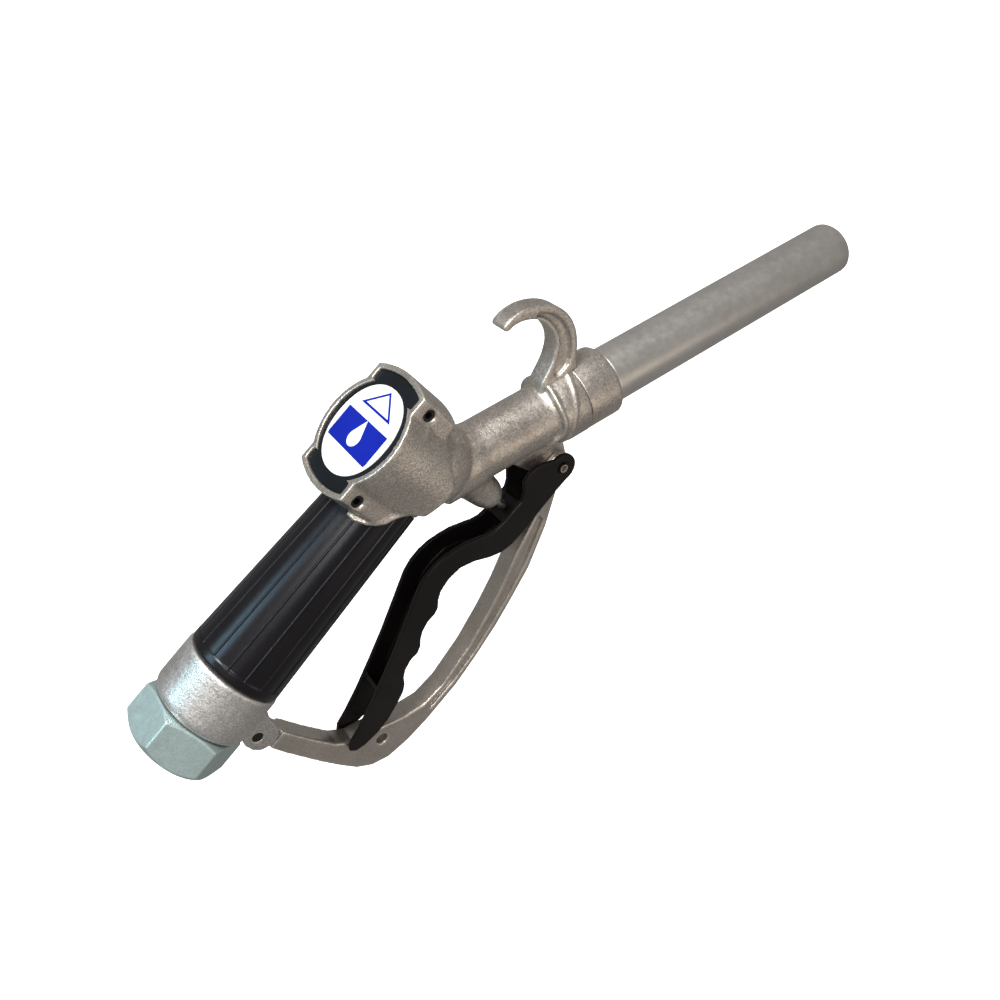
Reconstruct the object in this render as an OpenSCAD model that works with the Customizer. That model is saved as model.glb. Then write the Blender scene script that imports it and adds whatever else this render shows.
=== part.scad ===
// Manual fuel nozzle: swivel inlet, tapered grip, lever valve, straight spout.
// Origin: centre of the inlet mouth. +X runs along the handle to the valve
// head, +Z points to the valve cap, the lever and its guard hang towards -Z.

/* [Inlet swivel] */
// Hexagon of the swivel across its flats
hex_af = 46; // [44:1:50]
// Length of the hexagon
hex_len = 20; // [16:1:20]
// Minor radius of the 1 inch inlet thread
inlet_r = 15.2; // [14:0.1:16]

/* [Grip] */
// Radius of the inlet collar
collar_r = 25; // [24.5:0.1:26]
// Radius of the sleeve at the collar
sleeve_r1 = 24.4; // [23:0.1:24.6]
// Radius of the sleeve at the valve head
sleeve_r2 = 20.0; // [19.6:0.1:21]
// Number of panels round the sleeve
panels = 16; // [12:2:24]
// Depth of the sunk panels
panel_d = 0.5; // [0.3:0.1:0.8]

/* [Spout] */
// Angle of the spout below the handle axis
spout_a = 27.5; // [24:0.5:31]
// Outer radius of the spout tube
spout_r = 15; // [14:0.1:15.2]
// Distance from the bend of the axis to the tip of the spout
spout_end = 313.5; // [250:0.5:340]

/* [Lever] */
// Half width of the lever over its walls
lev_w = 8.7; // [8.6:0.1:10]
// Thickness of the lever walls
lev_t = 2.4; // [1.8:0.1:2.4]

/* [Hidden] */
$fn = 64;

e = 0.01;
bend_x = 137;            // where the spout axis leaves the handle axis
valve_x = 182;           // the valve axis, parallel to Z
cap_x = 169.5;           // centre of the cap outline
rim_z = 33;              // top of the head's rim
col_x0 = 20.6;           // inlet end of the collar
sl_x0 = 47.5;            // the sleeve between collar and head
sl_x1 = 152.3;
piv = [217, -79];        // lever pivot, in X and Z
ear = [22, -33.5];       // guard screw at the collar
seam_u = 123.5;          // barrel end, along the spout axis
scol_u = 143.5;          // front of the spout collar
gap = 0.3;

// a solid of revolution round the X axis from a list of [x, r]
module lathe_x(p, c = "silver") { color(c) rotate([0, 90, 0]) rotate_extrude($fn = 96) polygon([for (q = p) [q[1], q[0]]]); }
module cyl_x(x0, x1, r) { translate([x0, 0, 0]) rotate([0, 90, 0]) cylinder(r = r, h = x1 - x0, $fn = 96); }
module spout_frame() { translate([bend_x, 0, 0]) rotate([0, 90 + spout_a, 0]) children(); }
module side(w) { rotate([90, 0, 0]) translate([0, 0, -w]) linear_extrude(height = 2 * w) children(); }
module side_between(y0, y1) { rotate([90, 0, 0]) translate([0, 0, -y1]) linear_extrude(height = y1 - y0) children(); }
module y_cyl(p, r, w) { translate([p[0], -w, p[1]]) rotate([-90, 0, 0]) cylinder(r = r, h = 2 * w, $fn = 64); }
module z_ring(z0, z1, ro, ri) { translate([valve_x, 0, z0]) difference() { cylinder(r = ro, h = z1 - z0, $fn = 72); translate([0, 0, -1]) cylinder(r = ri, h = z1 - z0 + 2, $fn = 72); } }
module z_torus(z, R, r) { translate([valve_x, 0, z]) rotate_extrude($fn = 72) translate([R, 0]) circle(r = r, $fn = 24); }

// outline of the valve cap: an oval with four square ears, inset by g
module cap_outline(g = 0) {
  intersection() {
    union() {
      translate([0, -0.8]) circle(r = 27.6 - g, $fn = 120);
      translate([0, 0.8]) circle(r = 27.6 - g, $fn = 120);
      for (s = [-1, 1]) translate([s * 26, 0]) square([17 - 2 * g, 41.6 - 2 * g], center = true);
    }
    translate([-20, 0]) circle(r = 52.3 - g, $fn = 120);
    translate([20, 0]) circle(r = 52.3 - g, $fn = 120);
  }
}
// rounds an outline by cutting its corners, n times over
function soften(p, n = 2) = n == 0 ? p : soften([for (i = [0 : len(p) - 1], k = [0, 1])
  let (a = p[i], b = p[(i + 1) % len(p)]) k == 0 ? a * 0.75 + b * 0.25 : a * 0.25 + b * 0.75], n - 1);
module hook_profile() {
  polygon(soften([[244.5, 11.2], [251, 11.2], [258.5, 8.5], [266, 2], [271, -6], [272.8, -15.5], [270.6, -25], [266.4, -32], [259.5, -39.5], [256, -46],
    [250, -60], [235, -50], [234, -38], [238.5, -31.5], [243, -30], [249, -28], [254, -25.4], [258.4, -21.6], [261, -16.5], [261.6, -10.5], [260.8, -4.5], [258, 0.6], [254, 4.6], [249, 7.2], [244.5, 7.2]], 2));
}
module hook_pocket() {
  polygon(soften([[259, 1.2], [262.6, -4.5], [263.6, -10.8], [262.8, -17.6], [260, -23], [255.5, -27], [249, -30.4], [246, -36], [256, -37], [262, -32], [266, -26], [268.2, -19], [268.4, -13], [266.8, -6.5], [263, -0.8]], 2));
}
module body_casting() {
  color([0.62, 0.59, 0.55]) difference() {
    union() {
      cyl_x(24, 152, 16.5);                               // handle tube
      cyl_x(sl_x1 + 0.3, 156, 20.4);                      // rear flange
      intersection() {                                    // head under the cap
        translate([cap_x, 0, -10]) linear_extrude(height = rim_z + 10) cap_outline();
        side(30) polygon([[130, 34], [130, 20.9], [136.2, 17], [138.2, 11.7], [140.9, 7.3], [144.3, 4.2], [148.4, 3], [153, -1], [157, -8], [175, -9], [186, 3], [191, 8.5], [206, 9], [206, 34]]);
      }
      translate([173, 0, -10]) cylinder(r1 = 22, r2 = 27, h = 32, $fn = 96);
      translate([175.5, 0, -7.5]) sphere(r = 22.8, $fn = 96);
      translate([valve_x, 0, -42]) cylinder(r1 = 10, r2 = 17, h = 24, $fn = 96);
      translate([valve_x, 0, 0]) rotate_extrude($fn = 64) polygon([[0, -60.4], [5.9, -60.4], [7.4, -59], [8.6, -55], [9.6, -46], [10, -38], [0, -38]]);
      spout_frame() rotate_extrude($fn = 96) polygon([[0, 40], [16.5, 40], [16.5, 58], [15.3, 66], [15.3, 103], [15.9, 105.5], [17.6, 107.6], [18.7, 109.6], [19, 112], [19, seam_u], [0, seam_u]]);
      side(5.5) hook_profile();
      side(2.4) polygon([[198, -42], [207, -78], [212, -84], [222, -84], [225, -79], [230, -68], [244, -62], [240, -50]]);
      y_cyl(piv, 7.6, 2.4);
    }
    // pockets of the hook's web
    for (s = [-1, 1]) translate([0, s * 4.9, 0]) side(1.9) hook_pocket();
    // room for the spout collar
    spout_frame() translate([0, 0, seam_u]) cylinder(r = 19.3, h = 30, $fn = 96);
    // room for the end of the sleeve
    difference() {
      translate([sl_x0, 0, 0]) rotate([0, 90, 0]) cylinder(r1 = sleeve_r1 + 0.2, r2 = sleeve_r2 + 0.2, h = sl_x1 + 0.3 - sl_x0, $fn = 96);
      cyl_x(sl_x0 - 1, sl_x1 + 1, 16.5);
    }
    // fluid way
    translate([-1, 0, 0]) cyl_x(20, 168, 12.5);
    spout_frame() translate([0, 0, 48]) cylinder(r = 12.5, h = 90, $fn = 72);
    spout_frame() translate([0, 0, 111]) cylinder(r = 16.2, h = 30, $fn = 72);
    translate([valve_x, 0, -24]) cylinder(r = 13.5, h = 70, $fn = 72);
    translate([cap_x, 0, 28]) linear_extrude(height = 6) cap_outline(3);
    translate([valve_x, 0, -62]) cylinder(r = 5, h = 52, $fn = 48);
    for (x = [145, 193]) y_cyl([x, 24.5], 3, 26);
    y_cyl(piv, 3.05, 6);
  }
}
module valve_bonnet() { color("silver") difference() {
  union() { z_ring(14.5, 22, 13.4, 6); z_ring(20, 27.9, 13.4, 0.5); }
  for (x = [193]) y_cyl([x, 24.5], 3.05, 26);
  translate([valve_x, 0, 14]) cylinder(r = 3.2, h = 9, $fn = 32);
  translate([valve_x, 0, 17.4]) rotate_extrude($fn = 72) translate([11.15, -1.15]) square([3, 2.3]);
} }
module bonnet_o_ring() { color("black") z_torus(17.4, 12.3, 1.1); }
module bonnet_pins() { color("dimgray") for (x = [145, 193]) difference() { y_cyl([x, 24.5], 2.95, 19.5); y_cyl([x, 24.5], 1.6, 21); } }
module cap_cover() { color([0.08, 0.1, 0.12]) difference() {
  translate([cap_x, 0, 28.05]) linear_extrude(height = 4.4) cap_outline(3.2);
  translate([cap_x, 0, 31.9]) linear_extrude(height = 2) label_shape(0.15);
} }
module label_shape(g = 0) { intersection() { translate([0, -2.7]) circle(r = 24.2 + g, $fn = 96); translate([0, 2.7]) circle(r = 24.2 + g, $fn = 96); square([45.4 + 2 * g, 45], center = true); } }
module label_plate() {
  color("white") translate([cap_x, 0, 31.95]) linear_extrude(height = 0.65) label_shape();
}
// compression spring as a stack of linked turns
module main_spring() {
  color("gray") for (i = [0 : 6]) z_torus(-4 + i * 2.93, 8.2, 0.8);
  color("gray") for (i = [0 : 5]) translate([valve_x, 0, -4 + i * 2.93]) translate([(i % 2 == 0 ? 1 : -1) * 8.2, 0, 0]) cylinder(r = 0.7, h = 2.93, $fn = 16);
}
module valve_poppet() { color("gold") difference() {
  union() { z_ring(-9.5, -5, 11.6, 0.5); z_ring(-9.5, 1.5, 5.6, 0.5); }
  translate([valve_x, 0, -12]) cylinder(r = 3.03, h = 20, $fn = 48);
} }
module poppet_seal() { color("black") z_ring(-11.5, -9.55, 11, 3.1); }
module poppet_nut() { color("silver") difference() { translate([valve_x, 0, 1.6]) cylinder(r = 5.2, h = 3.2, $fn = 6); translate([valve_x, 0, 0]) cylinder(r = 2.52, h = 8, $fn = 48); } }
module valve_stem() { color("silver") translate([valve_x, 0, 0]) {
  translate([0, 0, -69.2]) cylinder(r = 3, h = 70.7, $fn = 48);
  translate([0, 0, 1.4]) cylinder(r = 2.5, h = 4.4, $fn = 48);
  translate([0, 0, -69.2]) sphere(r = 3, $fn = 48);
} }
module stem_gland() { color("gold") difference() { z_ring(-56, -26, 4.95, 3.06);
  for (z = [-50, -34]) translate([valve_x, 0, z]) rotate_extrude($fn = 48) translate([3.95, 0]) circle(r = 0.88, $fn = 24); } }
module stem_o_rings() { color("black") for (z = [-50, -34]) z_torus(z, 3.95, 0.82); }
module seat_ring() { color("gold") z_ring(-16, -11.8, 13.45, 8); }

module panel_wedge() { polygon([for (q = [[12, 2.4], [40, 2.4], [40, 360 / panels - 2.4], [12, 360 / panels - 2.4]]) [q[0] * cos(q[1]), q[0] * sin(q[1])]]); }
module handle_sleeve() {
  L = sl_x1 - sl_x0;
  color([0.1, 0.1, 0.12]) difference() {
    translate([sl_x0, 0, 0]) rotate([0, 90, 0]) cylinder(r1 = sleeve_r1, r2 = sleeve_r2, h = L, $fn = 96);
    cyl_x(sl_x0 - 1, sl_x1 + 1, 16.6);
    // sunk panels between the ribs
    intersection() {
      difference() {
        translate([sl_x0 + 4, 0, 0]) rotate([0, 90, 0]) cylinder(r1 = sleeve_r1 + 3, r2 = sleeve_r2 + 3, h = L, $fn = 96);
        translate([sl_x0, 0, 0]) rotate([0, 90, 0]) cylinder(r1 = sleeve_r1 - panel_d, r2 = sleeve_r2 - panel_d, h = L + e, $fn = 96);
      }
      for (i = [0 : panels - 1]) rotate([360 / panels * i, 0, 0]) translate([sl_x0 + 4, 0, 0])
        rotate([90, 0, 90]) linear_extrude(height = L + 1) panel_wedge();
    }
  }
}
module inlet_collar() {
  color([0.66, 0.64, 0.6]) difference() {
    union() {
      lathe_x([[col_x0, 15], [col_x0, 22.6], [21.6, 23.9], [23.4, collar_r - 0.2], [25, collar_r], [46.4, collar_r], [sl_x0 - 0.4, collar_r - 0.7], [sl_x0 - 0.4, 15]]);
      side(8.4) polygon([[14.5, -36], [16, -41], [21, -45], [27, -44], [31, -38], [36, -22], [24, -18], [21, -22]]);
      y_cyl(ear, 7, 8.4);
    }
    cyl_x(col_x0 - 1, 32, 19.4);
    cyl_x(30, 60, 16.55);
    rotate([0, 90, 0]) translate([0, 0, 26.5]) rotate_extrude($fn = 72) translate([19.3, 0]) circle(r = 1.62, $fn = 24);
    translate([-5, -4.2, -60]) cube([60, 8.4, 35.2]);
    y_cyl(ear, 2.6, 10);
    // cross hole of the ball plug
    rotate([54, 0, 0]) translate([26.5, 0, -30]) cylinder(r = 2.55, h = 12, $fn = 48);
  }
}
module collar_o_ring() { color("black") rotate([0, 90, 0]) translate([0, 0, 22.75]) rotate_extrude($fn = 72) translate([15.2, 0]) circle(r = 1.1, $fn = 24); }
module swivel_hex() {
  color([0.6, 0.7, 0.7]) difference() {
    union() {
      intersection() {
        translate([0, 0, 0]) rotate([-87, 0, 0]) rotate([0, 90, 0]) cylinder(r = hex_af / 2 / cos(30), h = hex_len, $fn = 6);
        lathe_x([[0, 0], [0, hex_af / 2 - 1], [4.2, hex_af / 2 + 3.7], [hex_len - 1.8, hex_af / 2 + 3.7], [hex_len, hex_af / 2 - 0.2], [hex_len, 0]]);
      }
      cyl_x(hex_len - 1, 31, 19.3);
    }
    cyl_x(-1, 12, inlet_r);
    cyl_x(10.9, 14, 15.9);
    cyl_x(13, 23.5, 14.1);
    cyl_x(21.4, 32, 17.2);
    rotate([0, 90, 0]) translate([0, 0, 26.5]) rotate_extrude($fn = 72) translate([19.3, 0]) circle(r = 1.62, $fn = 24);
  }
}
module swivel_o_ring() { color("black") rotate([0, 90, 0]) translate([0, 0, 28.8]) rotate_extrude($fn = 72) translate([16.86, 0]) circle(r = 0.3, $fn = 24); }
module race_balls() { color("silver") for (i = [0 : 19]) rotate([i * 18, 0, 0]) translate([26.5, 0, 19.3]) sphere(r = 1.5, $fn = 24); }
module ball_plug() { color("silver") rotate([54, 0, 0]) translate([26.5, 0, -24.6]) cylinder(r = 2.5, h = 3.4, $fn = 48); }
module inlet_strainer() { color("silver") difference() { cyl_x(13.98, 44, 9.4); cyl_x(12, 43.2, 8.8);
  for (i = [0 : 11], j = [0 : 4]) rotate([i * 30, 0, 0]) translate([20 + j * 5, 0, 7]) cylinder(r = 1.5, h = 4, $fn = 20); } }
module strainer_ring() { color("gold") difference() { cyl_x(13.05, 13.95, 15.8); cyl_x(12, 15, 8.8); } }
module hose_washer() { color("black") difference() { cyl_x(11.1, 13, 15.8); cyl_x(10, 14, 10); } }

module guard_profile() { difference() { union() {
  polygon([[216, -72], [209, -71.5], [201, -81], [188, -90.5], [166, -98], [148, -106], [131, -112], [109, -118], [84, -121.5], [70, -120], [60, -114], [51, -106], [42, -98], [35, -93], [31, -84], [29, -66], [28, -50],
    [27, -38], [26, -29], [19, -29], [17, -36], [17.5, -60], [19, -84], [20.5, -98], [22.5, -110], [27, -119], [35, -125.5], [48, -129], [63, -130.5], [89, -130.5], [108, -128], [129, -124], [147, -119], [165, -113.5], [188, -102], [206, -90], [221, -84]]);
  translate(piv) circle(r = 7.4, $fn = 64);
  translate(ear) circle(r = 5.6, $fn = 48);
} } }
module trigger_guard() {
  color([0.62, 0.58, 0.52]) difference() {
    intersection() {
      side(5.8) guard_profile();
      union() { translate([30, -6, -140]) cube([200, 12, 80]); translate([0, -3.9, -140]) cube([34, 7.8, 120]);
        translate([12, -6, -140]) cube([24, 12, 92]); }
    }
    // I-section recess on both sides of the bow
    for (s = [-1, 1]) translate([0, s * 4.9, 0]) side(1.5) polygon([[190, -92.5], [166, -103], [148, -109.5], [128, -115.5], [106, -121.5], [84, -124], [70, -124.5], [70, -126.5], [89, -127], [108, -125], [128, -120.5], [147, -115.5], [166, -109], [190, -97]]);
    translate([200, -2.6, -100]) cube([30, 5.2, 40]);
    y_cyl(piv, 3.05, 10);
    y_cyl(ear, 2.6, 10);
    y_cyl([43, -111], 3.3, 10);
  }
}
module guard_screw() { color("dimgray") { y_cyl(ear, 2.55, 8.3); } }
module guard_nut() { color("dimgray") difference() { translate([ear[0], 8.45, ear[1]]) rotate([-90, 0, 0]) cylinder(r = 4.2, h = 2.2, $fn = 6); y_cyl(ear, 1.2, 14); } }
module lever_profile() { union() {
  polygon([[217, -71.2], [213, -66.5], [209, -63.5], [203, -62], [198, -63.4], [193.5, -69], [190, -71.2], [176, -71], [170, -69.8], [166, -67.5], [162, -64], [156, -59], [150, -55.8], [144, -53.2], [138, -52], [131, -52], [124, -53.8], [110, -60.5], [92, -69], [74, -76.6], [58, -83], [43, -88], [35, -90], [31.5, -93],
    [33, -97], [38, -99.5], [47, -101], [56, -100.6], [66, -98], [73, -95.6], [77, -92.6], [80, -88.6], [84, -85.6], [90, -83.8], [95, -84.4], [99, -82.6], [102, -79.4], [106, -76.6], [112, -74.8], [117, -75.2], [121, -73.8], [124.5, -70.2], [129, -67.4], [136, -66.2], [144, -67.4], [151, -72.5], [157, -79.5], [163, -84.4], [170, -86.8], [180, -87], [192, -86.8], [206, -86.4], [217, -87]]);
  translate(piv) circle(r = 8, $fn = 72);
} }
module lever() {
  color([0.1, 0.09, 0.09]) difference() {
    side(lev_w) lever_profile();
    // the channel, open towards the grip
    side(lev_w - lev_t) polygon([[230, -60], [230, -95], [189, -95], [189, -72.6], [175, -72.6], [175, -80], [171, -83.6], [164, -81.2], [159, -77], [153, -70], [146, -64.6], [136, -63.2], [128, -64.2], [121, -68.4], [110, -72],
      [100, -77], [90, -81], [80, -85], [72, -91.5], [64, -95], [64, -110], [20, -110], [20, -60], [60, -50], [130, -40], [180, -55]]);
    y_cyl(piv, 3.06, 12);
  }
  color([0.1, 0.09, 0.09]) side(lev_w - lev_t + e) polygon([[66, -81.2], [68.4, -80.2], [68.4, -92.5], [66, -94]]);
}
module pivot_pin() { color("silver") difference() { y_cyl(piv, 3, 9.4); y_cyl(piv, 1.7, 12); } }
module spout_collar() { color([0.6, 0.56, 0.52]) spout_frame() rotate_extrude($fn = 96)
  polygon([[14.65, 112], [16.15, 112], [16.15, seam_u + 0.05], [18.9, seam_u + 0.05], [18.9, 138.6], [18.6, 141], [17.7, 142.8], [16.6, scol_u], [14.65, scol_u]]); }
module spout_tube() { color([0.68, 0.66, 0.64]) spout_frame() rotate_extrude($fn = 96)
  polygon([[12.9, 113], [14.6, 113], [14.6, scol_u + 0.1], [spout_r, scol_u + 0.2], [spout_r, spout_end - 0.8], [spout_r - 0.7, spout_end], [spout_r - 1.7, spout_end], [12.9, spout_end - 0.8]]); }
module spout_o_ring() { color("black") spout_frame() translate([0, 0, 111.5]) rotate_extrude($fn = 72) translate([15.15, 0]) square([1.9, 0.9], center = true); }

body_casting();
valve_bonnet();
bonnet_o_ring();
bonnet_pins();
cap_cover();
label_plate();
main_spring();
valve_poppet();
poppet_seal();
poppet_nut();
valve_stem();
stem_gland();
stem_o_rings();
seat_ring();
handle_sleeve();
inlet_collar();
collar_o_ring();
swivel_hex();
swivel_o_ring();
race_balls();
ball_plug();
inlet_strainer();
strainer_ring();
hose_washer();
trigger_guard();
guard_screw();
guard_nut();
lever();
pivot_pin();
spout_collar();
spout_tube();
spout_o_ring();
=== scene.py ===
import math

import bmesh
import bpy
import numpy as np
from mathutils import Matrix, Vector


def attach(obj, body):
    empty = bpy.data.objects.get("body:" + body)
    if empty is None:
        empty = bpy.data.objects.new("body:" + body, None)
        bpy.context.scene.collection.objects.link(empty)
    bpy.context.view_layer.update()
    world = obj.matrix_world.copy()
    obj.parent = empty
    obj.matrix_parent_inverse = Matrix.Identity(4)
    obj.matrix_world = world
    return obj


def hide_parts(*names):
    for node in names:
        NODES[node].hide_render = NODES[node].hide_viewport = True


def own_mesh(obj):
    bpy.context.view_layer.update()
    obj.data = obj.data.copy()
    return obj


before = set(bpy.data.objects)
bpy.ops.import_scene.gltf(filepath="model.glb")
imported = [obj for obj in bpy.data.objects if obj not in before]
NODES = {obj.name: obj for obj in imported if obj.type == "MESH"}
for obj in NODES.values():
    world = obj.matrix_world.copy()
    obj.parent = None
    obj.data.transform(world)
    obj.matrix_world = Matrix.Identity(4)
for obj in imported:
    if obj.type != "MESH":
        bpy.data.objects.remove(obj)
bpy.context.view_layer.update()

# ---------------------------------------------------------------- dimensions (metres)
BEND = Vector((0.137, 0.0, 0.0))
ANG = math.radians(27.5)
UDIR = Vector((math.cos(ANG), 0.0, -math.sin(ANG)))        # along the spout
WDIR = Vector((math.sin(ANG), 0.0, math.cos(ANG)))         # up from the spout axis
CAPX = 0.1695
RIMZ = 0.033
SEAM = 0.1235


# ---------------------------------------------------------------- materials
def new_mat(name):
    m = bpy.data.materials.new(name)
    m.use_nodes = True
    nt = m.node_tree
    nt.nodes.clear()
    out = nt.nodes.new("ShaderNodeOutputMaterial")
    b = nt.nodes.new("ShaderNodeBsdfPrincipled")
    nt.links.new(b.outputs[0], out.inputs[0])
    return m, nt, b


def N(nt, kind, **kw):
    n = nt.nodes.new(kind)
    for k, v in kw.items():
        if k in n.inputs:
            n.inputs[k].default_value = v
        else:
            setattr(n, k, v)
    return n


def noise(nt, co, scale, detail=3.0, rough=0.5):
    n = nt.nodes.new("ShaderNodeTexNoise")
    n.inputs["Scale"].default_value = scale
    n.inputs["Detail"].default_value = detail
    n.inputs["Roughness"].default_value = rough
    nt.links.new(co, n.inputs["Vector"])
    return n.outputs["Fac"]


def ramp(nt, fac, stops):
    r = nt.nodes.new("ShaderNodeValToRGB")
    els = r.color_ramp.elements
    while len(els) < len(stops):
        els.new(0.5)
    for e, (p, c) in zip(els, stops):
        e.position = p
        e.color = (c[0], c[1], c[2], 1.0)
    nt.links.new(fac, r.inputs["Fac"])
    return r.outputs["Color"]


def mixc(nt, fac, a, b, mode="MIX"):
    m = nt.nodes.new("ShaderNodeMix")
    m.data_type = "RGBA"
    m.blend_type = mode
    for key, v in ((0, fac), (6, a), (7, b)):
        if hasattr(v, "links") or isinstance(v, bpy.types.NodeSocket):
            nt.links.new(v, m.inputs[key])
        elif key == 0:
            m.inputs[key].default_value = v
        else:
            m.inputs[key].default_value = (v[0], v[1], v[2], 1.0)
    return m.outputs[2]


def math_n(nt, op, a, b=None, c=None, clamp=False):
    m = nt.nodes.new("ShaderNodeMath")
    m.operation = op
    m.use_clamp = clamp
    for i, v in enumerate((a, b, c)):
        if v is None:
            continue
        if isinstance(v, bpy.types.NodeSocket):
            nt.links.new(v, m.inputs[i])
        else:
            m.inputs[i].default_value = v
    return m.outputs[0]


def bump(nt, b, height, strength, distance, normal=None):
    n = nt.nodes.new("ShaderNodeBump")
    n.inputs["Strength"].default_value = strength
    n.inputs["Distance"].default_value = distance
    nt.links.new(height, n.inputs["Height"])
    if normal is not None:
        nt.links.new(normal, n.inputs["Normal"])
    nt.links.new(n.outputs[0], b.inputs["Normal"])
    return n.outputs[0]


def grained(name, dark, mid, light, metallic, r0, r1, grain=1500.0, gb=0.35, edges=0.0, cool=None, sp=0.2, spec=0.5, tint=None):
    """A metal or plastic with mottling, fine grain and optional painted highlights on ridges and painted shade in
    creases.
    """
    m, nt, b = new_mat(name)
    co = nt.nodes.new("ShaderNodeTexCoord").outputs["Object"]
    big = noise(nt, co, 38.0, 4.0, 0.6)
    fine = noise(nt, co, grain, 2.0, 0.6)
    mid_n = noise(nt, co, grain * 0.28, 3.0, 0.6)
    col = ramp(nt, big, [(0.3, dark), (0.52, mid), (0.72, light)])
    speck = ramp(nt, fine, [(0.34, (1 - sp, 1 - sp, 1 - sp)), (0.5, (1, 1, 1)), (0.68, (1 + sp, 1 + sp, 1 + sp * 0.9))])
    col = mixc(nt, 1.0, col, speck, "MULTIPLY")
    if cool is not None:
        col = mixc(nt, math_n(nt, "MULTIPLY", noise(nt, co, 22.0, 2.0), 0.6), col, cool)
    if edges > 0:
        # painted light: convex ridges (high pointiness) get a painted highlight and concave creases a painted shade,
        # mixed in by edges
        geo = nt.nodes.new("ShaderNodeNewGeometry")
        p = ramp(nt, geo.outputs["Pointiness"], [(0.44, (0, 0, 0)), (0.5, (0.45, 0.45, 0.45)), (0.56, (1, 1, 1))])
        col = mixc(nt, edges, col, mixc(nt, p, tuple(0.45 * c for c in dark), tuple(min(1.0, 1.5 * c) for c in light)))
    nt.links.new(col, b.inputs["Base Color"])
    b.inputs["Metallic"].default_value = metallic
    b.inputs["Specular IOR Level"].default_value = spec
    if tint is not None:
        b.inputs["Specular Tint"].default_value = (tint[0], tint[1], tint[2], 1.0)
    rr = nt.nodes.new("ShaderNodeMapRange")
    nt.links.new(mid_n, rr.inputs["Value"])
    rr.inputs["From Min"].default_value = 0.3
    rr.inputs["From Max"].default_value = 0.7
    rr.inputs["To Min"].default_value = r0
    rr.inputs["To Max"].default_value = r1
    nt.links.new(rr.outputs[0], b.inputs["Roughness"])
    h = math_n(nt, "ADD", fine, math_n(nt, "MULTIPLY", mid_n, 0.8))
    bump(nt, b, h, gb, 0.00025)
    return m


M = {}
# the tenth argument (edges) is the strength of the painted ridge highlight and painted crease shade
M["cast"] = grained("cast_alloy", (0.40, 0.365, 0.33), (0.53, 0.49, 0.45), (0.66, 0.62, 0.575), 0.92, 0.32, 0.50, 1150.0, 0.75, 0.35, sp=0.42)
M["collar"] = grained("collar_alloy", (0.48, 0.46, 0.445), (0.60, 0.58, 0.565), (0.70, 0.68, 0.665), 0.90, 0.38, 0.54, 1150.0, 0.55, 0.30, sp=0.32)
M["guard"] = grained("guard_alloy", (0.42, 0.385, 0.345), (0.55, 0.51, 0.465), (0.66, 0.62, 0.575), 0.92, 0.30, 0.46, 1150.0, 0.5, 0.55, sp=0.30)
M["steel"] = grained("steel", (0.32, 0.32, 0.32), (0.42, 0.42, 0.42), (0.52, 0.52, 0.52), 1.0, 0.25, 0.4, 2200.0, 0.1)
M["brass"] = grained("brass", (0.5, 0.36, 0.14), (0.6, 0.44, 0.18), (0.7, 0.52, 0.24), 1.0, 0.25, 0.4, 2200.0, 0.1)
M["zinc"] = grained("zinc_plate", (0.40, 0.52, 0.52), (0.47, 0.60, 0.60), (0.54, 0.67, 0.67), 0.70, 0.36, 0.48, 1300.0, 0.30, 0.35, sp=0.14)
M["rubber"] = grained("seal_rubber", (0.012, 0.012, 0.012), (0.02, 0.02, 0.02), (0.03, 0.03, 0.03), 0.0, 0.5, 0.7, 1600.0, 0.2)
M["blackened"] = grained("blackened_steel", (0.006, 0.006, 0.006), (0.01, 0.01, 0.01), (0.016, 0.015, 0.014), 0.3, 0.4, 0.55, 1800.0, 0.1)
M["grip"] = grained("grip_plastic", (0.0034, 0.0026, 0.0034), (0.0046, 0.0035, 0.0044), (0.0065, 0.0052, 0.0060), 0.0, 0.28, 0.36, 2600.0, 0.02, sp=0.06, spec=0.34, tint=(0.88, 0.92, 1.0))
M["lever"] = grained("lever_plastic", (0.0045, 0.0034, 0.0034), (0.0065, 0.005, 0.005), (0.010, 0.0078, 0.0076), 0.0, 0.36, 0.46, 2400.0, 0.03, sp=0.08, spec=0.24)
M["cap"] = grained("cap_plastic", (0.0025, 0.004, 0.006), (0.004, 0.006, 0.0085), (0.006, 0.0085, 0.0115), 0.0, 0.46, 0.58, 1500.0, 0.10, sp=0.12, spec=0.20)
M["spout"] = grained("spout_alloy", (0.56, 0.535, 0.515), (0.64, 0.615, 0.595), (0.72, 0.70, 0.68), 0.90, 0.34, 0.46, 900.0, 0.10, 0.0, (0.52, 0.53, 0.50), sp=0.05)
M["label"] = grained("label_white", (0.82, 0.87, 0.88), (0.84, 0.89, 0.90), (0.86, 0.90, 0.91), 0.0, 0.3, 0.4, 900.0, 0.005, sp=0.01, spec=0.2)
M["blue"] = grained("label_blue", (0.0042, 0.013, 0.27), (0.0048, 0.015, 0.29), (0.0055, 0.017, 0.31), 0.0, 0.3, 0.4, 900.0, 0.005, sp=0.02, spec=0.12)


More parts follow.
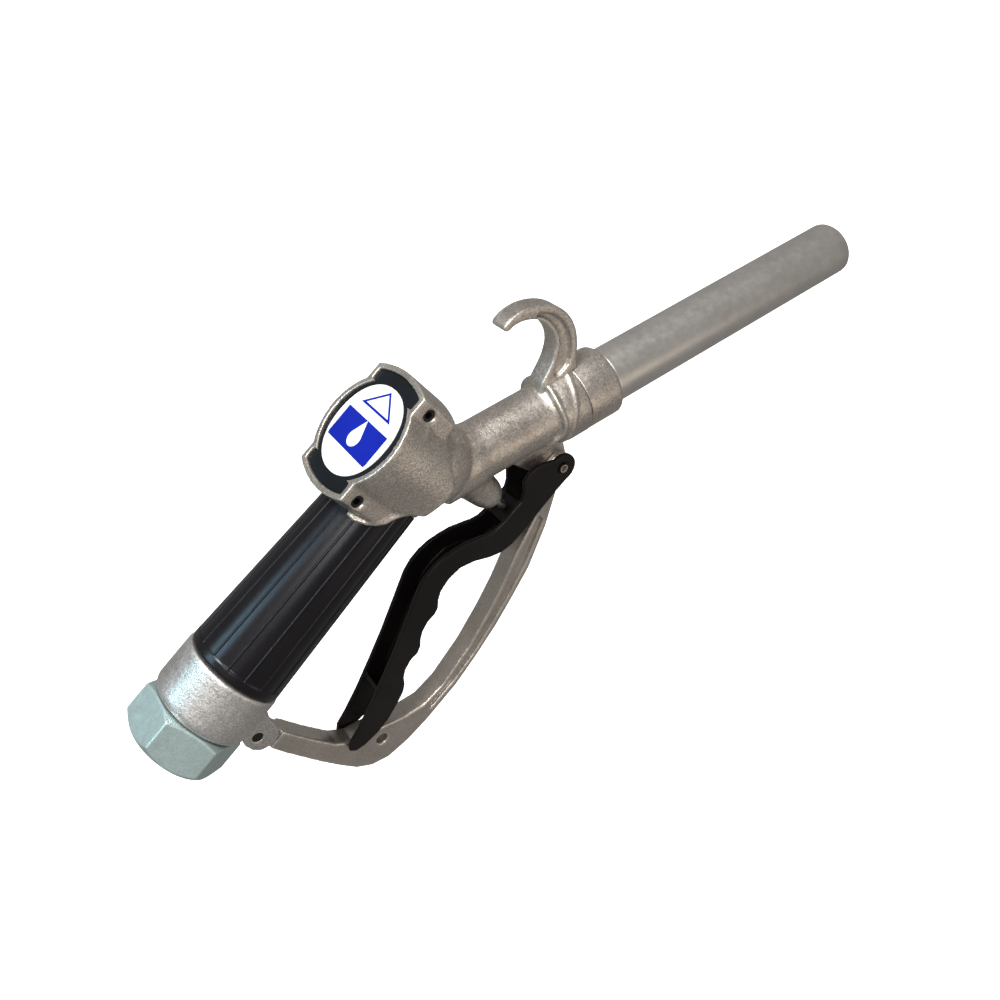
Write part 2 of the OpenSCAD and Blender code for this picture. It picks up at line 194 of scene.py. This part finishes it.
def rivet():
    """Black flush pin with a small bright hollow rivet in its middle, by the distance from the pivot's axis."""
    m, nt, b = new_mat("pivot_rivet")
    co = nt.nodes.new("ShaderNodeTexCoord").outputs["Object"]
    sep = nt.nodes.new("ShaderNodeSeparateXYZ")
    nt.links.new(co, sep.inputs[0])
    dx = math_n(nt, "SUBTRACT", sep.outputs[0], 0.217)
    dz = math_n(nt, "ADD", sep.outputs[2], 0.079)
    d = math_n(nt, "SQRT", math_n(nt, "ADD", math_n(nt, "MULTIPLY", dx, dx), math_n(nt, "MULTIPLY", dz, dz)))
    k = math_n(nt, "MULTIPLY", d, 250.0)
    wob = math_n(nt, "MULTIPLY", noise(nt, co, 900.0, 2.0), 0.04)
    col = ramp(nt, math_n(nt, "ADD", k, wob), [(0.0, (0.01, 0.009, 0.008)), (0.43, (0.012, 0.01, 0.009)), (0.455, (0.36, 0.31, 0.24)), (0.56, (0.40, 0.35, 0.28)), (0.60, (0.006, 0.005, 0.0045))])
    nt.links.new(col, b.inputs["Base Color"])
    b.inputs["Roughness"].default_value = 0.4
    b.inputs["Specular IOR Level"].default_value = 0.3
    return m


M["rivet"] = rivet()


def setm(o, m):
    o.data.materials.clear()
    o.data.materials.append(m)
    return o


# ---------------------------------------------------------------- mesh helpers
def link(me, name):
    o = bpy.data.objects.new(name, me)
    bpy.context.scene.collection.objects.link(o)
    return o


def obj_from(verts, faces, name, smooth=True):
    me = bpy.data.meshes.new(name)
    me.from_pydata([tuple(v) for v in verts], [], faces)
    me.validate()
    if smooth:
        me.polygons.foreach_set("use_smooth", [True] * len(me.polygons))
    me.update()
    return link(me, name)


def frame_rings(axis_o, axis_d, up, rings, segs=96, closed_ends=True):
    """Verts and faces of a lathe: rings = [(distance, radius)], round the line axis_o + t axis_d."""
    d = Vector(axis_d).normalized()
    a = Vector(up).normalized()
    c = d.cross(a)
    V, F = [], []
    for t, r in rings:
        for i in range(segs):
            th = 2 * math.pi * i / segs
            V.append(Vector(axis_o) + d * t + (a * math.cos(th) + c * math.sin(th)) * r)
    n = len(rings)
    for j in range(n - 1):
        for i in range(segs):
            k = (i + 1) % segs
            F.append((j * segs + i, j * segs + k, (j + 1) * segs + k, (j + 1) * segs + i))
    if closed_ends:
        F.append(tuple(reversed(range(segs))))
        F.append(tuple(range((n - 1) * segs, n * segs)))
    return V, F


def round_profile(pts, rad, steps=5):
    """Rounds the corners of an open profile of (t, r) points; rad is one radius per inner corner."""
    out = [pts[0]]
    for i in range(1, len(pts) - 1):
        p, a, b = Vector(pts[i]), Vector(pts[i - 1]), Vector(pts[i + 1])
        r = rad[i - 1] if isinstance(rad, (list, tuple)) else rad
        d1, d2 = (a - p), (b - p)
        if r <= 0 or d1.length < 1e-9 or d2.length < 1e-9:
            out.append(tuple(p))
            continue
        k = min(r, d1.length * 0.49, d2.length * 0.49)
        s, e = p + d1.normalized() * k, p + d2.normalized() * k
        for q in range(steps + 1):
            t = q / steps
            out.append(tuple(s * (1 - t) ** 2 + p * 2 * t * (1 - t) + e * t * t))
    out.append(pts[-1])
    return out


def lathe_closed(axis_o, axis_d, up, pts, segs, name):
    """A ring-shaped solid from a closed profile."""
    d = Vector(axis_d).normalized()
    a = Vector(up).normalized()
    c = d.cross(a)
    V, F = [], []
    n = len(pts)
    for t, r in pts:
        for i in range(segs):
            th = 2 * math.pi * i / segs
            V.append(Vector(axis_o) + d * t + (a * math.cos(th) + c * math.sin(th)) * r)
    for j in range(n):
        j2 = (j + 1) % n
        for i in range(segs):
            k = (i + 1) % segs
            F.append((j * segs + i, j * segs + k, j2 * segs + k, j2 * segs + i))
    o = obj_from(V, F, name)
    fix_normals(o)
    return o


def fix_normals(o):
    bm = bmesh.new()
    bm.from_mesh(o.data)
    bmesh.ops.recalc_face_normals(bm, faces=bm.faces)
    bm.to_mesh(o.data)
    bm.free()
    o.data.polygons.foreach_set("use_smooth", [True] * len(o.data.polygons))


def node_geo(node):
    o = NODES[node]
    dg = bpy.context.evaluated_depsgraph_get()
    me = o.evaluated_get(dg).to_mesh()
    mw = np.array(o.matrix_world)
    v = np.empty(len(me.vertices) * 3)
    me.vertices.foreach_get("co", v)
    v = v.reshape(-1, 3) @ mw[:3, :3].T + mw[:3, 3]
    f = [tuple(p.vertices) for p in me.polygons]
    o.evaluated_get(dg).to_mesh_clear()
    return [Vector(x) for x in v], f


def merged(parts, name):
    V, F = [], []
    for v, f in parts:
        k = len(V)
        V += list(v)
        F += [tuple(i + k for i in q) for q in f]
    me = bpy.data.meshes.new(name)
    me.from_pydata([tuple(v) for v in V], [], F)
    bm = bmesh.new()
    bm.from_mesh(me)
    bmesh.ops.remove_doubles(bm, verts=bm.verts, dist=2e-6)
    bm.to_mesh(me)
    bm.free()
    return link(me, name)


def apply_mods(o):
    dg = bpy.context.evaluated_depsgraph_get()
    me = bpy.data.meshes.new_from_object(o.evaluated_get(dg))
    old = o.data
    o.modifiers.clear()
    o.data = me
    bpy.data.meshes.remove(old)


def smooth_mesh(o, its, weight=None, lam=0.5):
    me = o.data
    n = len(me.vertices)
    v = np.empty(n * 3)
    me.vertices.foreach_get("co", v)
    v = v.reshape(-1, 3)
    e = np.empty(len(me.edges) * 2, dtype=np.int64)
    me.edges.foreach_get("vertices", e)
    e = e.reshape(-1, 2)
    a = np.concatenate([e[:, 0], e[:, 1]])
    b = np.concatenate([e[:, 1], e[:, 0]])
    cnt = np.maximum(np.bincount(a, minlength=n), 1)
    w = np.ones(n) if weight is None else np.clip(weight(v), 0, 1)
    for _ in range(its):
        s = np.stack([np.bincount(a, weights=v[b, k], minlength=n) for k in range(3)], 1) / cnt[:, None]
        v = v + (s - v) * (lam * w)[:, None]
    me.vertices.foreach_set("co", v.ravel())
    me.update()


def cast_piece(node, extras, name, voxel, its, weight=None, cut=()):
    o = merged([node_geo(node)] + list(extras), name)
    r = o.modifiers.new("Remesh", "REMESH")
    r.mode = "VOXEL"
    r.voxel_size = voxel
    for c in cut:
        bo = o.modifiers.new("Cut", "BOOLEAN")
        bo.operation = "DIFFERENCE"
        bo.solver = "FAST"
        bo.object = c
    apply_mods(o)
    smooth_mesh(o, its, weight)
    o.data.polygons.foreach_set("use_smooth", [True] * len(o.data.polygons))
    return o


def ellipsoid(c, r, seg=48):
    V, F = [], []
    n = seg // 2
    for j in range(1, n):
        ph = math.pi * j / n
        for i in range(seg):
            th = 2 * math.pi * i / seg
            V.append(Vector((c[0] + r[0] * math.sin(ph) * math.cos(th), c[1] + r[1] * math.sin(ph) * math.sin(th), c[2] + r[2] * math.cos(ph))))
    V.append(Vector((c[0], c[1], c[2] + r[2])))
    V.append(Vector((c[0], c[1], c[2] - r[2])))
    for j in range(n - 2):
        for i in range(seg):
            k = (i + 1) % seg
            F.append((j * seg + i, (j + 1) * seg + i, (j + 1) * seg + k, j * seg + k))
    top, bot = len(V) - 2, len(V) - 1
    for i in range(seg):
        k = (i + 1) % seg
        F.append((top, i, k))
        F.append((bot, (n - 2) * seg + k, (n - 2) * seg + i))
    return V, F


def tube(path, rad, seg=16):
    """A closed round bar along a path; rad is one radius or one per point."""
    P = [Vector(p) for p in path]
    n = len(P)
    R = [rad] * n if not isinstance(rad, (list, tuple)) else rad
    V, F = [], []
    up = Vector((0.02, 1, 0.03))
    for i in range(n):
        d = (P[min(i + 1, n - 1)] - P[max(i - 1, 0)]).normalized()
        a = d.cross(up).normalized()
        b = d.cross(a)
        for k in range(seg):
            th = 2 * math.pi * k / seg
            V.append(P[i] + (a * math.cos(th) + b * math.sin(th)) * R[i])
    for i in range(n - 1):
        for k in range(seg):
            q = (k + 1) % seg
            F.append((i * seg + k, i * seg + q, (i + 1) * seg + q, (i + 1) * seg + k))
    F.append(tuple(reversed(range(seg))))
    F.append(tuple(range((n - 1) * seg, n * seg)))
    return V, F


def done(o, body, mat, slot, *nodes):
    setm(o, mat)
    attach(o, body)
    if nodes:
        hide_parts(*nodes)
    return o


# ---------------------------------------------------------------- body casting
def spt(u, w, y=0.0):
    return BEND + UDIR * u + WDIR * w + Vector((0, y, 0))


extras = []
# bead of the hood over the end of the sleeve: follows the oblique edge of the casting
edge = [(0.1372, 0.0178), (0.1372, 0.0150), (0.1390, 0.0112), (0.1414, 0.0078), (0.1446, 0.0048), (0.1486, 0.0030), (0.1520, 0.0000), (0.1546, -0.0045), (0.1556, -0.0100), (0.1560, -0.0160)]
for sgn in (-1, 1):
    path, rad = [], []
    for x, z in edge:
        rr = 0.0214 + min(0.0, z) * 0.07
        y = math.sqrt(max(rr * rr - z * z, 1e-9))
        path.append((x, sgn * y, z))
        rad.append(0.0012)
    extras.append(tube(path, rad, 14))
# raised ribs round the barrel's shoulder, from the hook's foot to the lever's lug
RIB_A = [(109.2, 8, 18.2), (108.4, 20, 18.2), (107.8, 34, 18.2), (107.4, 50, 18.2), (107.3, 66, 18.2), (107.2, 82, 18.2), (106.8, 96, 18.0), (105.4, 106, 17.6), (103.0, 116, 16.8), (100.0, 126, 16.0), (98.0, 140, 15.6)]
RIB_B = [(121.2, 12, 18.9), (119.6, 28, 18.9), (118.0, 44, 18.9), (116.4, 58, 18.9), (114.4, 73, 18.9), (112.2, 87, 18.9), (110.8, 101, 18.9), (109.0, 115, 18.8), (107.0, 128, 18.2), (104.6, 142, 17.2)]
for sgn in (-1, 1):
    for rib, w0 in ((RIB_A, 0.00125), (RIB_B, 0.00085)):
        path = []
        for (u0, a0, r0), (u1, a1, r1) in zip(rib[:-1], rib[1:]):
            for q in range(4):
                t = q / 4
                th = math.radians(a0 + (a1 - a0) * t)
                r = (r0 + (r1 - r0) * t) * 0.001
                path.append(spt((u0 + (u1 - u0) * t) * 0.001, r * math.cos(th), sgn * r * math.sin(th)))
        extras.append(tube(path, w0, 12))
body = cast_piece("body_casting", extras, "head_casting", 0.0006, 7,
                  lambda v: np.where(v[:, 2] > 0.0275, 0.35, 1.0))
done(body, "body", M["cast"], "cast_aluminium", "body_casting")

# ---------------------------------------------------------------- other castings
guard = cast_piece("trigger_guard", [], "guard_bow", 0.00055, 6)
done(guard, "body", M["guard"], "cast_aluminium", "trigger_guard")
collar = cast_piece("inlet_collar", [], "collar_casting", 0.0006, 6)
done(collar, "body", M["collar"], "cast_aluminium", "inlet_collar")
lev = cast_piece("lever", [], "lever_moulding", 0.00045, 4)
done(lev, "lever", M["lever"], "lever_plastic", "lever")


# ---------------------------------------------------------------- spout collar and spout
def closed_round(pts, rad, steps=4):
    """Rounds every corner of a closed profile."""
    out = []
    n = len(pts)
    for i in range(n):
        p, a, b = Vector(pts[i]), Vector(pts[i - 1]), Vector(pts[(i + 1) % n])
        r = rad[i] if isinstance(rad, (list, tuple)) else rad
        if r <= 0:
            out.append(tuple(p))
            continue
        d1, d2 = a - p, b - p
        k = min(r, d1.length * 0.49, d2.length * 0.49)
        s, e = p + d1.normalized() * k, p + d2.normalized() * k
        for q in range(steps + 1):
            t = q / steps
            out.append(tuple(s * (1 - t) ** 2 + p * 2 * t * (1 - t) + e * t * t))
    return out


mm = 0.001
prof = closed_round([(112 * mm, 14.65 * mm), (143.4 * mm, 14.65 * mm), (143.4 * mm, 18.8 * mm), (123.55 * mm, 18.8 * mm), (123.55 * mm, 16.15 * mm), (112 * mm, 16.15 * mm)],
                    [0, 0.3 * mm, 3.0 * mm, 0.5 * mm, 0, 0.3 * mm], 6)
sc = lathe_closed(BEND, UDIR, WDIR, prof, 160, "spout_ring")
done(sc, "body", M["cast"], "cast_aluminium", "spout_collar")

prof = [(113 * mm, 12.9 * mm), (113 * mm, 14.6 * mm), (143.6 * mm, 14.6 * mm), (143.7 * mm, 15 * mm)]
prof += [(u * mm, 15 * mm) for u in range(146, 310, 4)]
prof += [(311.6 * mm, 15 * mm), (312.5 * mm, 14.8 * mm), (313.1 * mm, 14.4 * mm), (313.45 * mm, 13.9 * mm), (313.45 * mm, 13.4 * mm), (313.1 * mm, 13.05 * mm), (312.4 * mm, 12.9 * mm)]
sp = lathe_closed(BEND, UDIR, WDIR, prof, 160, "spout_pipe")
done(sp, "body", M["spout"], "spout_aluminium", "spout_tube")


# ---------------------------------------------------------------- grip sleeve
def sleeve():
    x0, x1 = 0.0475, 0.1523
    r1, r2 = 0.0244, 0.0200
    nP = 16
    depth, rib, band = 0.00042, 0.0006, 0.0042
    per = 24
    V, F = [], []
    # angular samples over a panel: dense at its edges
    us = [0.0, 0.012, 0.03, 0.05, 0.065, 0.08, 0.095, 0.12, 0.2, 0.3, 0.4, 0.5, 0.6, 0.7, 0.8, 0.88, 0.905, 0.92, 0.935, 0.95, 0.97, 0.988]
    xs = [0.0, 0.0004, 0.0009, 0.0020, 0.0034, 0.0040, 0.0043, 0.0046, 0.0050, 0.0056, 0.0066, 0.012]
    k = 0.02
    while k < (x1 - x0) - 0.0012:
        xs.append(k)
        k += 0.008
    xs += [x1 - x0 - 0.001, x1 - x0 - 0.0004, x1 - x0]
    L = x1 - x0

    def sst(a, b, t):
        t = min(1.0, max(0.0, (t - a) / (b - a)))
        return t * t * (3 - 2 * t)

    for x in xs:
        base = r1 + (r2 - r1) * x / L
        ew = rib / 2 / (2 * math.pi * base / nP)            # half rib as a share of a panel
        er = 0.0007 if x < 0.0004 else (0.0002 if x < 0.0009 else 0.0)
        for p in range(nP):
            for u in us:
                dd = min(u, 1 - u)
                s = sst(ew, ew + 0.035, dd) * sst(band, band + 0.0007, x)
                # a little crown on each panel and a soft roll at the rib's edges
                rr = base - er - depth * s - 0.00012 * s * (1 - math.cos(2 * math.pi * u)) * -0.5
                th = 2 * math.pi * (p + u) / nP
                V.append(Vector((x0 + x, rr * math.cos(th), rr * math.sin(th))))
    W = nP * len(us)
    rows = len(xs)
    for j in range(rows - 1):
        for i in range(W):
            q = (i + 1) % W
            F.append((j * W + i, j * W + q, (j + 1) * W + q, (j + 1) * W + i))
    # inner wall
    ri = 0.0166
    base_i = len(V)
    for x in (0.0, L):
        for p in range(nP):
            for u in us:
                th = 2 * math.pi * (p + u) / nP
                V.append(Vector((x0 + x, ri * math.cos(th), ri * math.sin(th))))
    for i in range(W):
        q = (i + 1) % W
        F.append((base_i + i, base_i + q, q, i))
        F.append(((rows - 1) * W + i, (rows - 1) * W + q, base_i + W + q, base_i + W + i))
        F.append((base_i + W + i, base_i + W + q, base_i + q, base_i + i))
    o = obj_from(V, F, "grip_sleeve")
    fix_normals(o)
    return o


sl = sleeve()
done(sl, "body", M["grip"], "grip_plastic", "handle_sleeve")


# ---------------------------------------------------------------- swivel hexagon: the CAD solid with rounded edges
hexo = cast_piece("swivel_hex", [], "swivel_nut", 0.0005, 2)
done(hexo, "swivel", M["zinc"], "zinc_plate", "swivel_hex")


# ---------------------------------------------------------------- cap insert and label
def cap_outline(g, n=240):
    """Radius of the cap's outline at each angle, inset by g (metres)."""
    pts = []
    R1, off = 0.0276 - g, 0.0008
    ex, ey = 0.0345 - g, 0.0208 - g
    ein = 0.0175 + g
    R2, o2 = 0.0523 - g, 0.0200
    for i in range(n):
        th = 2 * math.pi * i / n
        c, s = math.cos(th), math.sin(th)

        def inside(r):
            x, y = r * c, r * s
            ov = math.hypot(x, abs(y) - off if abs(y) > off else 0.0) <= R1 or math.hypot(x, abs(y) - off) <= R1
            ear = ein <= abs(x) <= ex and abs(y) <= ey
            return (ov or ear) and math.hypot(x + o2, y) <= R2 and math.hypot(x - o2, y) <= R2
        lo, hi = 0.01, 0.05
        # the outermost inside radius
        r = hi
        while r > lo and not inside(r):
            r -= 0.00005
        pts.append((r * c, r * s))
    return pts


def smooth_loop(p, its):
    a = np.array(p)
    for _ in range(its):
        a = a * 0.5 + 0.25 * (np.roll(a, 1, 0) + np.roll(a, -1, 0))
    return [tuple(q) for q in a]


def plate(outline, cx, z0, z1, edge, name, steps=4, crown=0.0):
    """A plate with a rounded top edge, from an outline round (cx, 0)."""
    n = len(outline)
    a = np.array(outline)
    rad = np.linalg.norm(a, axis=1)
    u = a / rad[:, None]
    V, F = [], []
    rows = [(0.0, z0)]
    for k in range(steps + 1):
        t = math.pi / 2 * k / steps
        rows.append((edge * (1 - math.cos(t)), z1 - edge * (1 - math.sin(t))))
    for ins, z in rows:
        for i in range(n):
            q = a[i] - u[i] * ins
            V.append(Vector((cx + q[0], q[1], z)))
    inner = [0.8, 0.55, 0.3, 0.12]
    for s in inner:
        for i in range(n):
            q = (a[i] - u[i] * edge) * s
            V.append(Vector((cx + q[0], q[1], z1 + crown * (1 - s * s))))
    total = len(rows) + len(inner)
    for j in range(total - 1):
        for i in range(n):
            k = (i + 1) % n
            F.append((j * n + i, j * n + k, (j + 1) * n + k, (j + 1) * n + i))
    F.append(tuple(reversed(range(n))))
    F.append(tuple(range((total - 1) * n, total * n)))
    o = obj_from(V, F, name)
    fix_normals(o)
    return o


cap = plate(smooth_loop(cap_outline(0.0031), 3), CAPX, 0.02805, 0.0319, 0.0006, "cap_insert", 4, 0.0002)
done(cap, "body", M["cap"], "cap_plastic", "cap_cover")


def oval(g=0.0, n=160):
    pts = []
    for i in range(n):
        th = 2 * math.pi * i / n
        c, s = math.cos(th), math.sin(th)
        e = 2.15
        r = 1.0 / ((abs(c) / (0.0227 - g)) ** e + (abs(s) / (0.0215 - g)) ** e) ** (1 / e)
        pts.append((r * c, r * s))
    return pts


lab = plate(oval(), CAPX, 0.0318, 0.03245, 0.0002, "cap_label", 3, 0.0)
done(lab, "body", M["label"], "label", "label_plate")


def band_outline():
    """Part of the label's oval between two straight lines: the blue band."""
    lo, hi = 0.1580 - CAPX, 0.1742 - CAPX
    o = np.array(oval(0.0016))
    pts = []
    ys = lambda x: 0.0199 * (1 - abs(x / 0.0212) ** 2.15) ** (1 / 2.15)
    hw = 0.0178
    for x in np.linspace(lo, hi, 12):
        pts.append((x, min(hw, ys(x))))
    for x in np.linspace(hi, lo, 12):
        pts.append((x, -min(hw, ys(x))))
    return pts


def flat(outline, cx, z0, z1, name):
    n = len(outline)
    V = [Vector((cx + p[0], p[1], z0)) for p in outline] + [Vector((cx + p[0], p[1], z1)) for p in outline]
    F = [tuple(range(n)), tuple(range(n, 2 * n))]
    for i in range(n):
        k = (i + 1) % n
        F.append((i, k, n + k, n + i))
    o = obj_from(V, F, name, False)
    bm = bmesh.new()
    bm.from_mesh(o.data)
    bmesh.ops.recalc_face_normals(bm, faces=bm.faces)
    bm.to_mesh(o.data)
    bm.free()
    return o


band = flat(band_outline(), CAPX, 0.0324, 0.03252, "label_band")
done(band, "body", M["blue"], "label")


def drop(cx, cy, r, tip, ang, n=48):
    """A plain drop: a round end and a point."""
    pts = []
    for i in range(n + 1):
        th = math.radians(-215 + 250 * i / n)
        pts.append((r * math.cos(th), r * math.sin(th)))
    pts.append((0.0, tip))
    ca, sa = math.cos(ang), math.sin(ang)
    return [(cx + x * ca - y * sa, cy + x * sa + y * ca) for x, y in pts]


# a white drop on the band, pointing to the spout
dr = flat(drop(0.1646 - CAPX, 0.0, 0.0043, 0.0095, -math.pi / 2), CAPX, 0.0325, 0.03260, "label_drop")
done(dr, "body", M["label"], "label")


def tri_ring(corners, w, z0, z1, name):
    """A plain outlined triangle of line width w."""
    P = [Vector((x, y, 0)) for x, y in corners]
    c = (P[0] + P[1] + P[2]) / 3
    side = [(P[(i + 1) % 3] - P[i]).length for i in range(3)]
    area2 = (P[1] - P[0]).cross(P[2] - P[0]).length
    inr = area2 / sum(side)
    inc = sum((P[i] * side[(i + 1) % 3] for i in range(3)), Vector()) / sum(side)
    k = (inr - w) / inr
    Q = [inc + (p - inc) * k for p in P]
    V = []
    for z in (z0, z1):
        V += [Vector((p.x, p.y, z)) for p in P] + [Vector((q.x, q.y, z)) for q in Q]
    F = []
    for i in range(3):
        j = (i + 1) % 3
        F += [(i, j, 3 + j, 3 + i), (6 + i, 6 + j, 9 + j, 9 + i), (i, j, 6 + j, 6 + i), (3 + i, 3 + j, 9 + j, 9 + i)]
    o = obj_from(V, F, name, False)
    fix_normals(o)
    o.data.polygons.foreach_set("use_smooth", [False] * len(o.data.polygons))
    return o


tr = tri_ring([(0.1790, 0.0130), (0.1903, 0.0), (0.1790, -0.0130)], 0.0012, 0.0324, 0.03252, "label_triangle")
done(tr, "body", M["blue"], "label")

# ---------------------------------------------------------------- valve spring: the CAD coil as one smooth mesh of its own
spring = merged([node_geo("main_spring")], "valve_spring")
spring.data.polygons.foreach_set("use_smooth", [True] * len(spring.data.polygons))
done(spring, "body", M["steel"], "steel", "main_spring")
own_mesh(spring)

# ---------------------------------------------------------------- CAD pieces that show as they are
plain = {
    "valve_bonnet": "steel", "bonnet_o_ring": "rubber", "bonnet_pins": "blackened",
    "valve_poppet": "brass", "poppet_seal": "rubber", "poppet_nut": "steel", "valve_stem": "steel",
    "stem_gland": "brass", "stem_o_rings": "rubber", "seat_ring": "brass", "collar_o_ring": "rubber",
    "swivel_o_ring": "rubber", "race_balls": "steel", "ball_plug": "steel", "inlet_strainer": "steel",
    "strainer_ring": "brass", "hose_washer": "rubber", "guard_screw": "blackened", "guard_nut": "steel",
    "pivot_pin": "rivet", "spout_o_ring": "rubber",
}
for n, k in plain.items():
    setm(NODES[n], M[k])

# ---------------------------------------------------------------- camera
cam = bpy.data.cameras.new("view")
cam.sensor_width = 36.0
cam.lens = 0.905 * 36.0
cam.shift_x = 0.043
cam.shift_y = -0.074
cam.clip_start = 0.01
cam.clip_end = 50.0
camo = bpy.data.objects.new("view", cam)
bpy.context.scene.collection.objects.link(camo)
R = np.array([[0.6412, -0.5292, -0.5557], [0.7672, 0.4297, 0.4762], [-0.0132, -0.7317, 0.6815]])
t = np.array([-0.10251, -0.11084, -0.41785])
loc = -R.T @ t + np.array([0.047, 0, 0])
mw = Matrix.Identity(4)
for i in range(3):
    for j in range(3):
        mw[i][j] = R[j][i]
    mw[i][3] = loc[i]
camo.matrix_world = mw
bpy.context.scene.camera = camo
CX, CY, CZ = (Vector(R[0]), Vector(R[1]), Vector(R[2]))
CENTRE = Vector((0.17, 0.0, -0.05))

# ---------------------------------------------------------------- floor, world and lights
fl_mat, nt, b = new_mat("floor_white")
co = nt.nodes.new("ShaderNodeTexCoord").outputs["Object"]
fc = ramp(nt, noise(nt, co, 3.0, 2.0), [(0.3, (0.93, 0.93, 0.93)), (0.7, (0.95, 0.95, 0.95))])
nt.links.new(fc, b.inputs["Base Color"])
b.inputs["Roughness"].default_value = 0.9
b.inputs["Emission Color"].default_value = (1, 1, 1, 1)
b.inputs["Emission Strength"].default_value = 0.9
floor = obj_from([Vector((-6, -6, -0.40)), Vector((6, -6, -0.40)), Vector((6, 6, -0.40)), Vector((-6, 6, -0.40))], [(0, 1, 2, 3)], "floor", False)
setm(floor, fl_mat)
floor.visible_glossy = False
floor.visible_diffuse = False

w = bpy.data.worlds.new("studio")
bpy.context.scene.world = w
w.use_nodes = True
bg = w.node_tree.nodes["Background"]
bg.inputs[0].default_value = (1.0, 0.955, 0.92, 1)
bg.inputs[1].default_value = 0.28


def area(name, pos, size, energy, colour, target=CENTRE, size_y=None):
    l = bpy.data.lights.new(name, "AREA")
    l.energy = energy
    l.color = colour
    l.size = size
    if size_y:
        l.shape = "RECTANGLE"
        l.size_y = size_y
    o = bpy.data.objects.new(name, l)
    bpy.context.scene.collection.objects.link(o)
    o.location = pos
    o.rotation_euler = (Vector(target) - Vector(pos)).to_track_quat("-Z", "Y").to_euler()
    return o


def cpos(x, y, z):
    """A place left or right, up or down and in front, as the camera sees it."""
    return CENTRE + CX * x + CY * y + CZ * z


area("key", cpos(-0.32, 0.68, 0.95), 0.30, 16.0, (1.0, 0.975, 0.945))
area("cool", cpos(-0.95, 0.25, 0.75), 0.30, 3.7, (0.50, 0.84, 1.0))
area("warm", cpos(0.9, -0.45, 0.5), 0.6, 1.6, (1.0, 0.84, 0.68))
area("front", cpos(-0.05, 0.10, 1.1), 0.30, 3.6, (1.0, 0.95, 0.89))

sc_ = bpy.context.scene
sc_.view_settings.view_transform = "Standard"
